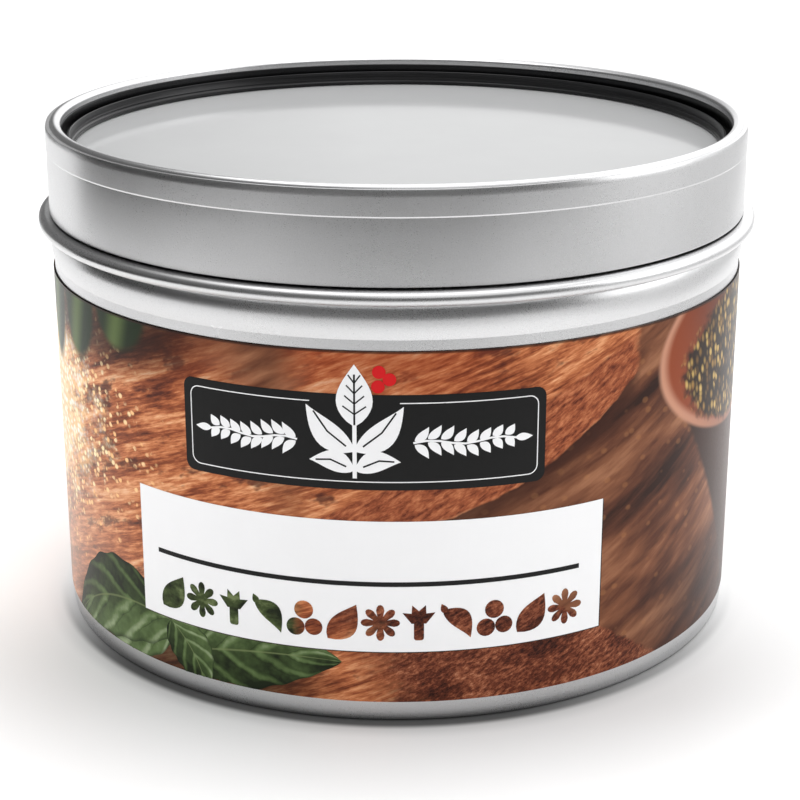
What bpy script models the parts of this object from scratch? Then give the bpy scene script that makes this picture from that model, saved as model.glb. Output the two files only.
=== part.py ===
"""Round slip-lid spice tin with a clear window in its lid.

Metres, +Z up. The origin is the centre of the standing ring, on the surface the tin stands on.
Every piece is turned about the Z axis. The pressed pieces are sheets: their outline follows one
face of the metal, and the other face is that path offset by the metal's thickness.
"""
import math

import bmesh
import bpy
from mathutils import Vector

SEGMENTS = 64
GAP = 0.0003                # space between pieces that touch or slide on the real tin
THIN_GAP = 0.00015          # space above and below a seal, which is clamped on the real tin
LID_GAP = 0.0002            # space under the lid's edge, which rests on the stop bead on the real tin
METAL = 0.00025             # tinplate thickness

# body
BODY_RADIUS = 0.0418        # outer face of the straight wall
TIN_HEIGHT = 0.0605
BULGE_HEIGHT = 0.0463       # widest level of the soft bulge under the stop bead
BULGE_LOWER_ROUND = 0.0072  # the bulge comes in to the straight wall with this curve
BULGE_LOWER_ANGLE = -17.0   # degrees; where it meets the wall in a crisp line
BULGE_UPPER_ROUND = 0.0038  # and goes in under the bead with this one
BULGE_UPPER_ANGLE = 25.0
BEAD_RADIUS = 0.04345       # the stop bead, the widest place on the tin
BEAD_HEIGHT = 0.04885
BEAD_ROUND = 0.00085        # half of the bead's height
GROOVE_RADIUS = 0.0417      # the bead's flat underside comes in this far
NECK_RADIUS = 0.0411
NECK_FILLET = 0.0004
HEM_THICKNESS = 0.00065     # the neck's folded edge
HEM_HEIGHT = 0.0020
MOUTH_HEIGHT = 0.0589
FOOT_ROUND = 0.0005
FOOT_INNER_RADIUS = 0.0392  # inner edge of the turned-in standing ring

# base end, held by the turned-in foot
BASE_RADIUS = 0.0411
BASE_SEAT_HEIGHT = 0.00105
BASE_CHUCK_RADIUS = 0.0390
BASE_PANEL_HEIGHT = 0.0026
BASE_FILLET = 0.0005
BASE_BEAD_RADIUS = 0.0325   # middle of the expansion bead pressed into the panel
BASE_BEAD_WIDTH = 0.0030
BASE_BEAD_RISE = 0.0004
BASE_SEAL_INNER = 0.0395
BASE_SEAL_OUTER = 0.0409

# lid
LID_RADIUS = 0.0417
LID_EDGE_HEIGHT = BEAD_HEIGHT + BEAD_ROUND + LID_GAP
RIM_WIDTH = 0.00185         # from the skirt's outer face to the inner wall's face
RIM_CROWN_RADIUS = 0.04105  # middle of the rounded crown
RIM_CROWN_ROUND = 0.00055
RIM_CORNER_ROUND = 0.0004   # where the inner wall turns into the slope that rises to the crown
RIM_SLOPE_ANGLE = 117.0     # degrees; direction that the slope faces, 90 being straight up
RIM_EDGE_ANGLE = 18.0       # the crown runs into the wide outer curve here
RIM_EDGE_ROUND = 0.0026
RIM_EDGE_HEIGHT = 0.05932   # the outer curve ends in the straight skirt here
LEDGE_HEIGHT = 0.05565      # top of the ledge that carries the window
LEDGE_RADIUS = 0.0383
LEDGE_FILLET = 0.0003
WINDOW_THICKNESS = 0.0005
WINDOW_SEAL_THICKNESS = 0.00035
WINDOW_SEAL_INNER = 0.0385
RETAINER_HEIGHT = 0.0586
RETAINER_FOOT_RADIUS = 0.0389

# printed wrap
WRAP_RADIUS = 0.0420
WRAP_THICKNESS = 0.0001
WRAP_BOTTOM = 0.00245
WRAP_TOP = 0.0430
WRAP_OPENING = math.radians(1.5)   # butt joint of the wrap, at the back

ARC_STEPS = 3


def clear_scene():
    for obj in list(bpy.data.objects):
        bpy.data.objects.remove(obj, do_unlink=True)


def metal_material(name, colour, roughness, metallic=1.0, alpha=1.0):
    material = bpy.data.materials.new(name)
    material.use_nodes = True
    shader = material.node_tree.nodes["Principled BSDF"]
    shader.inputs["Base Color"].default_value = (*colour, 1.0)
    shader.inputs["Roughness"].default_value = roughness
    shader.inputs["Metallic"].default_value = metallic
    shader.inputs["Alpha"].default_value = alpha
    material.diffuse_color = (*colour, alpha)
    return material


def arc(centre, radius, start, end, steps=ARC_STEPS):
    """Points on an arc in the (radius, height) plane, by angle in degrees from +radius to +height."""
    points = []
    for step in range(steps + 1):
        angle = math.radians(start + (end - start) * step / steps)
        points.append((centre[0] + radius * math.cos(angle), centre[1] + radius * math.sin(angle)))
    return points


def offset_path(path, distance):
    """The open path moved to its right-hand side by a constant distance, with mitred corners."""
    vectors = [Vector(point) for point in path]
    normals = []
    for first, second in zip(vectors, vectors[1:]):
        along = (second - first).normalized()
        normals.append(Vector((along.y, -along.x)))
    moved = []
    for index, point in enumerate(vectors):
        before = normals[max(index - 1, 0)]
        after = normals[min(index, len(normals) - 1)]
        middle = (before + after).normalized()
        moved.append(tuple(point + middle * (distance / middle.dot(after))))
    return moved


def sheet_outline(path, thickness=METAL):
    """Closed outline of a pressed sheet whose metal lies on the right-hand side of the path."""
    return list(path) + offset_path(path, thickness)[::-1]


def box_outline(inner, outer, bottom, top):
    return [(inner, bottom), (outer, bottom), (outer, top), (inner, top)]


def turned(name, outline, material, parent, sweep=2 * math.pi):
    """A solid of revolution. An outline that starts and ends on the axis gives a closed disc."""
    mesh = bpy.data.meshes.new(name)
    bm = bmesh.new()
    start = -sweep / 2 - math.pi / 2 if sweep < 2 * math.pi else 0.0
    turn = Vector((math.cos(start), math.sin(start), 0.0))
    verts = [bm.verts.new(turn * radius + Vector((0.0, 0.0, height))) for radius, height in outline]
    edges = [bm.edges.new(pair) for pair in zip(verts, verts[1:])]
    if outline[0][0] > 0.0:
        edges.append(bm.edges.new((verts[-1], verts[0])))
    bmesh.ops.spin(bm, geom=verts + edges, cent=(0, 0, 0), axis=(0, 0, 1), angle=sweep, steps=SEGMENTS)
    bmesh.ops.remove_doubles(bm, verts=bm.verts, dist=1e-6)
    if sweep < 2 * math.pi:
        bmesh.ops.holes_fill(bm, edges=bm.edges, sides=0)
    bmesh.ops.recalc_face_normals(bm, faces=bm.faces)
    bm.to_mesh(mesh)
    bm.free()
    mesh.materials.append(material)
    mesh.shade_smooth()
    mesh.set_sharp_from_angle(angle=math.radians(35))
    obj = bpy.data.objects.new(name, mesh)
    bpy.context.collection.objects.link(obj)
    obj.parent = parent
    obj.matrix_parent_inverse = parent.matrix_world.inverted()
    return obj


def body_frame(name, height):
    empty = bpy.data.objects.new(name, None)
    empty.empty_display_size = 0.01
    empty.location = (0.0, 0.0, height)
    bpy.context.collection.objects.link(empty)
    bpy.context.view_layer.update()
    return empty


def body_wall(material, parent):
    """Rolled wall: folded mouth, neck, stop bead, bulge, straight wall and turned-in foot."""
    neck_end = BEAD_HEIGHT + BEAD_ROUND + NECK_FILLET
    bead_middle = BEAD_RADIUS - BEAD_ROUND
    bulge = BODY_RADIUS + BULGE_LOWER_ROUND * (1.0 - math.cos(math.radians(BULGE_LOWER_ANGLE)))
    hem_round = HEM_THICKNESS / 2
    hem_middle = NECK_RADIUS - hem_round
    path = [(NECK_RADIUS, MOUTH_HEIGHT - HEM_HEIGHT)]
    path += arc((NECK_RADIUS + NECK_FILLET, neck_end), NECK_FILLET, 180, 270)
    path += arc((bead_middle, BEAD_HEIGHT), BEAD_ROUND, 90, 0)
    path += arc((bead_middle, BEAD_HEIGHT), BEAD_ROUND, 0, -90)[1:]
    path += [(GROOVE_RADIUS, BEAD_HEIGHT - BEAD_ROUND)]
    path += arc((bulge - BULGE_UPPER_ROUND, BULGE_HEIGHT), BULGE_UPPER_ROUND, BULGE_UPPER_ANGLE, 0)
    path += arc((bulge - BULGE_LOWER_ROUND, BULGE_HEIGHT), BULGE_LOWER_ROUND, 0, BULGE_LOWER_ANGLE)[1:]
    path += arc((BODY_RADIUS - FOOT_ROUND, FOOT_ROUND), FOOT_ROUND, 0, -90)
    path += [(FOOT_INNER_RADIUS, 0.0)]
    hem = [(NECK_RADIUS - HEM_THICKNESS, MOUTH_HEIGHT - HEM_HEIGHT + METAL)]
    hem += arc((hem_middle, MOUTH_HEIGHT - hem_round), hem_round, 180, 0, 2 * ARC_STEPS)
    return turned("body_wall", sheet_outline(path) + hem, material, parent)


def base_end(material, parent):
    """Pressed bottom: seat, chuck wall and recessed panel with an expansion bead."""
    bead_outer = BASE_BEAD_RADIUS + BASE_BEAD_WIDTH / 2
    bead_inner = BASE_BEAD_RADIUS - BASE_BEAD_WIDTH / 2
    bead_top = BASE_PANEL_HEIGHT + BASE_BEAD_RISE
    path = [(BASE_RADIUS, BASE_SEAT_HEIGHT)]
    path += arc((BASE_CHUCK_RADIUS + BASE_FILLET, BASE_SEAT_HEIGHT + BASE_FILLET), BASE_FILLET, 270, 180, 2)
    path += arc((BASE_CHUCK_RADIUS - BASE_FILLET, BASE_PANEL_HEIGHT - BASE_FILLET), BASE_FILLET, 0, 90, 2)
    path += [(bead_outer, BASE_PANEL_HEIGHT), (bead_outer - BASE_BEAD_RISE, bead_top)]
    path += [(bead_inner + BASE_BEAD_RISE, bead_top), (bead_inner, BASE_PANEL_HEIGHT)]
    path += [(0.0, BASE_PANEL_HEIGHT)]
    return turned("base_end", sheet_outline(path), material, parent)


def base_seal(material, parent):
    """Sealing compound between the turned-in foot and the base end."""
    outline = box_outline(
        BASE_SEAL_INNER, BASE_SEAL_OUTER, METAL + THIN_GAP, BASE_SEAT_HEIGHT - THIN_GAP)
    return turned("base_seal", outline, material, parent)


def wrap_label(material, parent):
    """Printed film round the straight wall."""
    outline = box_outline(WRAP_RADIUS - WRAP_THICKNESS, WRAP_RADIUS, WRAP_BOTTOM, WRAP_TOP)
    return turned("wrap_label", outline, material, parent, 2 * math.pi - WRAP_OPENING)


def lid_shell(material, parent):
    """Slip lid: ledge for the window, inner wall, sloped and crowned rim, and skirt."""
    inner_radius = LID_RADIUS - RIM_WIDTH
    ledge_corner = (inner_radius - LEDGE_FILLET, LEDGE_HEIGHT + LEDGE_FILLET)
    crown = (RIM_CROWN_RADIUS, TIN_HEIGHT - RIM_CROWN_ROUND)
    slope = math.radians(RIM_SLOPE_ANGLE)
    slope_normal = Vector((math.cos(slope), math.sin(slope)))
    corner_radius = inner_radius + RIM_CORNER_ROUND
    step_out = (crown[0] - corner_radius) * slope_normal.x + RIM_CROWN_ROUND - RIM_CORNER_ROUND
    corner = (corner_radius, crown[1] + step_out / slope_normal.y)
    path = [(LEDGE_RADIUS, LEDGE_HEIGHT)]
    path += arc(ledge_corner, LEDGE_FILLET, 270, 360, 2)
    path += arc(corner, RIM_CORNER_ROUND, 180, RIM_SLOPE_ANGLE)
    path += arc(crown, RIM_CROWN_ROUND, RIM_SLOPE_ANGLE, 90, 2)
    path += arc(crown, RIM_CROWN_ROUND, 90, RIM_EDGE_ANGLE)[1:]
    path += arc((LID_RADIUS - RIM_EDGE_ROUND, RIM_EDGE_HEIGHT), RIM_EDGE_ROUND, RIM_EDGE_ANGLE, 0)
    path += [(LID_RADIUS, LID_EDGE_HEIGHT)]
    return turned("lid_shell", sheet_outline(path), material, parent)


def window_levels():
    """Heights of the window's lower and upper faces, stacked on the ledge and the seal."""
    bottom = LEDGE_HEIGHT + THIN_GAP + WINDOW_SEAL_THICKNESS + THIN_GAP
    return bottom, bottom + WINDOW_THICKNESS


def window_radius():
    return LID_RADIUS - RIM_WIDTH - GAP


def window_seal(material, parent):
    """Soft ring that the window is pressed on."""
    bottom = LEDGE_HEIGHT + THIN_GAP
    outline = box_outline(WINDOW_SEAL_INNER, window_radius(), bottom, bottom + WINDOW_SEAL_THICKNESS)
    return turned("window_seal", outline, material, parent)


def lid_window(material, parent):
    """Clear disc."""
    bottom, top = window_levels()
    outline = [(0.0, bottom), (window_radius(), bottom), (window_radius(), top), (0.0, top)]
    return turned("lid_window", outline, material, parent)


def window_retainer(material, parent):
    """Pressed ring with an L section that clamps the window from above."""
    foot = window_levels()[1] + THIN_GAP + METAL
    face = window_radius() - METAL
    path = [(RETAINER_FOOT_RADIUS, foot)]
    path += arc((face - LEDGE_FILLET, foot + LEDGE_FILLET), LEDGE_FILLET, 270, 360, 2)
    path += [(face, RETAINER_HEIGHT)]
    return turned("window_retainer", sheet_outline(path), material, parent)


def build():
    clear_scene()
    tinplate = metal_material("tinplate", (0.62, 0.62, 0.63), 0.32)
    compound = metal_material("seal_compound", (0.55, 0.52, 0.46), 0.7, metallic=0.0)
    clear_plastic = metal_material("clear_plastic", (0.88, 0.9, 0.9), 0.06, metallic=0.0, alpha=0.3)
    printed_film = metal_material("printed_film", (0.30, 0.13, 0.07), 0.4, metallic=0.0)
    tin = body_frame("tin", 0.0)
    body_wall(tinplate, tin)
    base_end(tinplate, tin)
    base_seal(compound, tin)
    wrap_label(printed_film, tin)
    lid = body_frame("lid", LID_EDGE_HEIGHT)
    lid_shell(tinplate, lid)
    window_seal(compound, lid)
    lid_window(clear_plastic, lid)
    window_retainer(tinplate, lid)


build()
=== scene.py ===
"""Looks of the spice tin: fine turned metal, a milky window whose grey is painted in place of the lit
inside, printed wrap, floor, light and camera.
"""
import math

import bpy
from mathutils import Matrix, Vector


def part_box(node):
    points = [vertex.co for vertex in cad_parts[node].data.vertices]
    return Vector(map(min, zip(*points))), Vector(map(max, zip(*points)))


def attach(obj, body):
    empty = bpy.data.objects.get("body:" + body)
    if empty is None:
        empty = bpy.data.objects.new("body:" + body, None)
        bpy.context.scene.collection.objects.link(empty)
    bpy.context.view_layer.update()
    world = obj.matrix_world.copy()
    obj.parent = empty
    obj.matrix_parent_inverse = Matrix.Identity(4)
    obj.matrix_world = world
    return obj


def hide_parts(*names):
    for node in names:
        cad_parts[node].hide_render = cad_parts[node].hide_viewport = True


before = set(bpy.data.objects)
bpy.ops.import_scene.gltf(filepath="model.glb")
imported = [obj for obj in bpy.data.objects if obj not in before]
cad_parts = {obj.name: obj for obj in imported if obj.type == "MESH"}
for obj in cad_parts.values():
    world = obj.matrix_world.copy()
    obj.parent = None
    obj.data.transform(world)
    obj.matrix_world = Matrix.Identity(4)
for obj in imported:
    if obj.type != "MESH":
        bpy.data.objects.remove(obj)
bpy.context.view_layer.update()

MM = 0.001
FULL_TURN = 2 * math.pi

# sizes of the tin, read from the frame
WALL_LOW, WALL_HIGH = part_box("body_wall")
BASE_LOW, BASE_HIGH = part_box("base_end")
WRAP_LOW, WRAP_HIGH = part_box("wrap_label")
LID_LOW, LID_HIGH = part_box("lid_shell")
WINDOW_LOW, WINDOW_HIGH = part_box("lid_window")
RETAINER_LOW, RETAINER_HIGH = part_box("window_retainer")
WINDOW_SEAL_LOW, WINDOW_SEAL_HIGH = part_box("window_seal")
BASE_SEAL_LOW, BASE_SEAL_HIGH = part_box("base_seal")

METAL = 0.25 * MM                    # tinplate thickness
WRAP_THICKNESS = 0.1 * MM
TURN_STEPS = 256                     # steps round the tin
BODY_RADIUS = WRAP_HIGH.x - 0.2 * MM  # outer face of the straight wall
LID_RADIUS = LID_HIGH.x              # outer face of the lid's skirt
BEAD_RADIUS = WALL_HIGH.x
MOUTH_HEIGHT = WALL_HIGH.z
BEAD_ROUND = 0.85 * MM
BEAD_HEIGHT = LID_LOW.z - 0.2 * MM - BEAD_ROUND
GROOVE_RADIUS = 41.7 * MM            # the bead's flat underside comes in this far
BULGE_HEIGHT = 46.3 * MM             # widest level of the soft bulge under the stop bead
BULGE_LOWER_ROUND = 7.2 * MM         # the bulge comes in to the straight wall with this curve
BULGE_LOWER_ANGLE = -17.0            # degrees; where it meets the wall in a crisp line
BULGE_UPPER_ROUND = 3.8 * MM         # and goes in under the bead with this one
BULGE_UPPER_ANGLE = 25.0
SEAM_TOP = 44.2 * MM
NECK_RADIUS = 41.1 * MM
HEM_THICKNESS = 0.65 * MM
HEM_HEIGHT = 2.0 * MM
FOOT_ROUND = 0.5 * MM
FOOT_INNER_RADIUS = 39.2 * MM
LID_INNER_RADIUS = LID_RADIUS - 1.85 * MM
RIM_CROWN_RADIUS = 41.05 * MM        # middle of the rim's rounded crown
RIM_CROWN_ROUND = 0.55 * MM
RIM_CORNER_ROUND = 0.4 * MM
RIM_SLOPE_ANGLE = 117.0              # degrees; direction that the rim's inner slope faces
RIM_EDGE_ANGLE = 18.0
RIM_EDGE_ROUND = 2.6 * MM
RIM_EDGE_HEIGHT = 59.32 * MM
INNER_RIDGE_HEIGHT = 59.25 * MM      # fine ridge round the lid's inner wall
LEDGE_HEIGHT = WINDOW_SEAL_LOW.z - 0.15 * MM
LEDGE_RADIUS = 38.3 * MM
RETAINER_FOOT_RADIUS = 38.9 * MM
WINDOW_SEAL_WIDTH = 1.0 * MM
BASE_SEAL_INNER_RADIUS = 39.5 * MM
CHUCK_RADIUS = 39.0 * MM             # the base's upright wall
SKIRT_LINE_HEIGHT = 57.2 * MM        # bottom of the small pressed step in the lid's skirt
SKIRT_LINE_DEPTH = 0.06 * MM
SKIRT_TAPER_END = 55.3 * MM
SEAM_ANGLE = math.radians(-27.0)     # the welded side seam, round from the front
PRINT_STEP = 1.2 * MM                # printed shapes are cut this fine to follow the wall


# ---------------------------------------------------------------- outlines

def arc(centre, radius, start, end, steps=8):
    """Points on an arc in the (radius, height) plane, by angle in degrees from +radius to +height."""
    points = []
    for step in range(steps + 1):
        angle = math.radians(start + (end - start) * step / steps)
        points.append((centre[0] + radius * math.cos(angle), centre[1] + radius * math.sin(angle)))
    return points


def offset_path(path, distance):
    """The open path moved to its right-hand side, with mitred corners."""
    vectors = [Vector(point) for point in path]
    normals = []
    for first, second in zip(vectors, vectors[1:]):
        along = (second - first).normalized()
        normals.append(Vector((along.y, -along.x)))
    moved = []
    for index, point in enumerate(vectors):
        before = normals[max(index - 1, 0)]
        after = normals[min(index, len(normals) - 1)]
        middle = (before + after).normalized()
        moved.append(tuple(point + middle * (distance / middle.dot(after))))
    return moved


def sheet_outline(path, thickness=METAL):
    """Closed outline of pressed metal that lies on the right-hand side of the path."""
    return list(path) + offset_path(path, thickness)[::-1]


def box_outline(inner, outer, bottom, top, edge=0.05 * MM):
    """Closed outline of a flat ring with softened corners."""
    return [
        (inner + edge, bottom), (outer - edge, bottom), (outer, bottom + edge), (outer, top - edge),
        (outer - edge, top), (inner + edge, top), (inner, top - edge), (inner, bottom + edge)]


# ---------------------------------------------------------------- modelling by operators

def start_edit():
    bpy.ops.object.mode_set(mode="EDIT")


def end_edit():
    bpy.ops.object.mode_set(mode="OBJECT")


def finish_piece(piece, name, material, body, replaced=()):
    """Name, finish and body of a piece whose mesh is done."""
    piece.name = name
    piece.data.name = name
    piece.data.materials.clear()
    piece.data.materials.append(material)
    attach(piece, body)
    if replaced:
        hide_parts(*replaced)
    return piece


def draw_outline(outline):
    """Edit mode on a new mesh that holds the outline in the XZ plane, extruded point by point."""
    bpy.ops.object.select_all(action="DESELECT")
    first = Vector((outline[0][0], 0.0, outline[0][1]))
    bpy.ops.mesh.primitive_plane_add(size=MM, location=first)
    bpy.ops.object.transform_apply(location=True)
    start_edit()
    bpy.ops.mesh.merge(type="CENTER")
    for point, after in zip(outline, outline[1:]):
        move = (after[0] - point[0], 0.0, after[1] - point[1])
        bpy.ops.mesh.extrude_region_move(TRANSFORM_OT_translate={"value": move})
    bpy.ops.mesh.select_all(action="SELECT")
    return bpy.context.object


def turn(outline, sharp=30.0, steps=TURN_STEPS):
    """A solid turned about the tin's axis. An outline that starts on the axis ends on it too."""
    on_axis = outline[0][0] == 0.0
    piece = draw_outline(outline if on_axis else list(outline) + [outline[0]])
    bpy.ops.mesh.spin(steps=steps, angle=FULL_TURN, center=(0, 0, 0), axis=(0, 0, 1))
    bpy.ops.mesh.select_all(action="SELECT")
    bpy.ops.mesh.remove_doubles(threshold=0.004 * MM)
    bpy.ops.mesh.normals_make_consistent(inside=False)
    end_edit()
    bpy.ops.object.shade_smooth_by_angle(angle=math.radians(sharp))
    return piece


# ---------------------------------------------------------------- finishes

class Wire:
    """A socket of a material's nodes. Arithmetic on it adds Math nodes."""

    def __init__(self, tree, socket):
        self.tree = tree
        self.socket = socket

    def maths(self, operation, *values):
        node = self.tree.nodes.new("ShaderNodeMath")
        node.operation = operation
        for socket, value in zip(node.inputs, values):
            if isinstance(value, Wire):
                self.tree.links.new(value.socket, socket)
            else:
                socket.default_value = value
        return Wire(self.tree, node.outputs[0])

    def __add__(self, other):
        return self.maths("ADD", self, other)

    def __radd__(self, other):
        return self.maths("ADD", other, self)

    def __sub__(self, other):
        return self.maths("SUBTRACT", self, other)

    def __rsub__(self, other):
        return self.maths("SUBTRACT", other, self)

    def __mul__(self, other):
        return self.maths("MULTIPLY", self, other)

    def __rmul__(self, other):
        return self.maths("MULTIPLY", other, self)

    def __truediv__(self, other):
        return self.maths("DIVIDE", self, other)

    def __rtruediv__(self, other):
        return self.maths("DIVIDE", other, self)

    def __pow__(self, other):
        return self.maths("POWER", self, other)

    def __abs__(self):
        return self.maths("ABSOLUTE", self)

    def least(self, other):
        return self.maths("MINIMUM", self, other)

    def most(self, other):
        return self.maths("MAXIMUM", self, other)

    def root(self):
        return self.maths("SQRT", self.most(0.0))


class Finish:
    """A material under construction, with one method for every kind of node."""

    def __init__(self, name, **constants):
        self.material = bpy.data.materials.new(name)
        self.material.use_nodes = True
        self.tree = self.material.node_tree
        self.shader = self.tree.nodes["Principled BSDF"]
        self.set(self.shader, **constants)

    def set(self, node, **values):
        """Sockets by name, with underscores for spaces, or by index as in _0: numbers, colours or wires."""
        for name, value in values.items():
            key = int(name[1:]) if name[1:].isdigit() else name.replace("_", " ")
            socket = node.inputs[key]
            if isinstance(value, Wire):
                self.tree.links.new(value.socket, socket)
            elif isinstance(value, (tuple, list)) and len(value) == 3 and socket.type == "RGBA":
                socket.default_value = (*value, 1.0)
            else:
                socket.default_value = value

    def node(self, kind, output=0, settings=None, **values):
        node = self.tree.nodes.new("ShaderNode" + kind)
        for name, value in (settings or {}).items():
            setattr(node, name, value)
        self.set(node, **values)
        return Wire(self.tree, node.outputs[output])

    def place(self):
        """Position on the tin, in metres."""
        return self.node("TexCoord", "Object")

    def split(self, vector):
        parts = self.node("SeparateXYZ", Vector=vector).socket.node
        return [Wire(self.tree, socket) for socket in parts.outputs]

    def join(self, x, y, z):
        return self.node("CombineXYZ", X=x, Y=y, Z=z)

    def noise(self, place, scale, detail=3.0, roughness=0.5, distortion=0.0):
        return self.node("TexNoise", 0, {}, Vector=place, Scale=scale, Detail=detail, Roughness=roughness,
                         Distortion=distortion)

    def cells(self, place, scale, output="Distance", feature="F1", randomness=1.0):
        return self.node("TexVoronoi", output, {"feature": feature}, Vector=place, Scale=scale,
                         Randomness=randomness)

    def step(self, value, low, high):
        """Smooth step from 0 at low to 1 at high."""
        return self.node("MapRange", 0, {"interpolation_type": "SMOOTHSTEP"}, Value=value,
                         From_Min=low, From_Max=high)

    def mix(self, share, first, second, blend="MIX"):
        node = self.tree.nodes.new("ShaderNodeMix")
        node.data_type = "RGBA"
        node.blend_type = blend
        self.set(node, _0=share, _6=first, _7=second)
        return Wire(self.tree, node.outputs[2])

    def ramp(self, value, *stops):
        node = self.tree.nodes.new("ShaderNodeValToRGB")
        ramp = node.color_ramp
        while len(ramp.elements) < len(stops):
            ramp.elements.new(0.5)
        for element, (position, colour) in zip(ramp.elements, stops):
            element.position = position
            element.color = (*colour, 1.0)
        self.set(node, Fac=value)
        return Wire(self.tree, node.outputs[0])

    def bump(self, height, strength, distance=0.02 * MM):
        return self.node("Bump", 0, {}, Height=height, Strength=strength, Distance=distance)

    def done(self, **values):
        self.set(self.shader, **values)
        return self.material


def rgb(red, green, blue):
    """A colour by its display values, 0 to 255, as the linear values that shaders take."""
    return tuple(
        ((part / 255 + 0.055) / 1.055) ** 2.4 if part > 10 else part / 3295 for part in (red, green, blue))


TIN_COLOUR = (0.63, 0.63, 0.635)


def satin_tinplate(name, painted_rim_shade=False, seam=False):
    """Tinplate with a fine sandy grain, faint smudges and tiny drawing lines round the tin. If asked, the
    rim's inner wall is painted near black as shade, and a pale welded side seam is added.
    """
    finish = Finish(name, Metallic=1.0)
    place = finish.place()
    x, y, z = finish.split(place)
    grain = finish.noise(place, 9000.0, 2.0, 0.6)
    smudges = finish.noise(place, 90.0, 4.0, 0.6)
    lines = finish.noise(finish.join(x * 0.02, y * 0.02, z), 9000.0, 2.0, 0.5)
    shade = 0.82 + grain * 0.3 + smudges * 0.06
    tone = finish.mix(1.0, TIN_COLOUR, finish.join(shade, shade, shade), "MULTIPLY")
    uneven = 0.21 + grain * 0.1 + smudges * 0.06
    relief = grain * 0.8 + lines * 0.25
    if painted_rim_shade:
        # painted shade: the lid's inner wall between the ledge and the rim's edge is coloured near black in
        # place of the dark reflections seen inside the rim
        radius = (x * x + y * y).root()
        inside = 1.0 - finish.step(radius, LID_INNER_RADIUS + 0.02 * MM, LID_INNER_RADIUS + 0.12 * MM)
        above = finish.step(z, LEDGE_HEIGHT, LEDGE_HEIGHT + 0.1 * MM)
        above = above * (1.0 - finish.step(z, RIM_EDGE_HEIGHT + 0.08 * MM, RIM_EDGE_HEIGHT + 0.22 * MM))
        tone = finish.mix(inside * above * 0.97, tone, (0.008, 0.008, 0.009))
    if seam:
        across = (x * math.cos(SEAM_ANGLE) + y * math.sin(SEAM_ANGLE)) * (1.0 / MM)
        ahead = 1.0 - finish.step(y, -0.005, 0.0)
        climb = (z * (1.0 / MM) - 43.9).most(0.0)
        weld = 1.0 - finish.step(abs(abs(across) - climb * 1.1), 0.12, 0.3)
        below = 1.0 - finish.step(z, SEAM_TOP + 0.1 * MM, SEAM_TOP + 0.3 * MM)
        below = below * finish.step(z, 30.0 * MM, 40.0 * MM)
        tone = finish.mix(weld * ahead * below * 0.8, tone, (0.95, 0.95, 0.96))
        uneven = uneven + weld * ahead * below * 0.25
    return finish.done(Base_Color=tone, Roughness=uneven, Normal=finish.bump(relief, 0.1, 0.01 * MM))


def ring_painted_shade(name):
    """Near-black metal with faint drawing lines; its darkness is painted shade, standing in for the dark
    groove inside the rim.
    """
    finish = Finish(name, Metallic=0.6)
    place = finish.place()
    x, y, z = finish.split(place)
    lines = finish.noise(finish.join(x * 0.02, y * 0.02, z), 4000.0, 2.0, 0.5)
    grain = finish.noise(place, 3500.0, 2.0, 0.6)
    tone = finish.ramp(lines, (0.3, (0.012, 0.012, 0.013)), (0.7, (0.03, 0.03, 0.031)))
    return finish.done(Base_Color=tone, Roughness=0.26 + grain * 0.12, Normal=finish.bump(lines, 0.3))


def seal_compound(name):
    """Soft grey-beige sealing compound, slightly wavy."""
    finish = Finish(name)
    place = finish.place()
    waves = finish.noise(place, 700.0, 3.0, 0.6)
    tone = finish.ramp(waves, (0.3, (0.33, 0.31, 0.27)), (0.7, (0.45, 0.42, 0.36)))
    return finish.done(Base_Color=tone, Roughness=0.6 + waves * 0.2, Normal=finish.bump(waves, 0.5))


def milky_painted_pane(name):
    """Milky plastic that lets only a little light through, with hardly visible rubbing marks; its pale grey
    is painted to stand in for the lit inside seen through the window.
    """
    finish = Finish(name, IOR=1.12, Base_Color=(0.48, 0.483, 0.486))
    place = finish.place()
    rubbing = finish.noise(place, 60.0, 3.0, 0.6)
    return finish.done(Alpha=0.78 + rubbing * 0.08, Roughness=0.06 + rubbing * 0.05)


# ---------------------------------------------------------------- metal pieces

def tin_wall():
    """Folded mouth, neck, stop bead, bulge, straight wall and turned-in foot, out of one sheet."""
    bead = (BEAD_RADIUS - BEAD_ROUND, BEAD_HEIGHT)
    bulge = BODY_RADIUS + BULGE_LOWER_ROUND * (1.0 - math.cos(math.radians(BULGE_LOWER_ANGLE)))
    neck_fillet = 0.4 * MM
    hem_round = HEM_THICKNESS / 2
    path = [(NECK_RADIUS, MOUTH_HEIGHT - HEM_HEIGHT)]
    shoulder = BEAD_HEIGHT + BEAD_ROUND
    path += arc((NECK_RADIUS + neck_fillet, shoulder + neck_fillet), neck_fillet, 180, 270, 12)
    path += arc(bead, BEAD_ROUND, 90, 0, 14)
    path += arc(bead, BEAD_ROUND, 0, -90, 14)[1:]
    path += [(GROOVE_RADIUS, BEAD_HEIGHT - BEAD_ROUND)]
    path += arc((bulge - BULGE_UPPER_ROUND, BULGE_HEIGHT), BULGE_UPPER_ROUND, BULGE_UPPER_ANGLE, 0, 10)
    path += arc((bulge - BULGE_LOWER_ROUND, BULGE_HEIGHT), BULGE_LOWER_ROUND, 0, BULGE_LOWER_ANGLE, 6)[1:]
    path += arc((BODY_RADIUS - FOOT_ROUND, FOOT_ROUND), FOOT_ROUND, 0, -90, 12)
    path += [(FOOT_INNER_RADIUS, 0.0)]
    hem = [(NECK_RADIUS - HEM_THICKNESS, MOUTH_HEIGHT - HEM_HEIGHT + METAL)]
    hem += arc((NECK_RADIUS - hem_round, MOUTH_HEIGHT - hem_round), hem_round, 180, 0, 24)
    return turn(sheet_outline(path) + hem, sharp=9.0)


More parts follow.
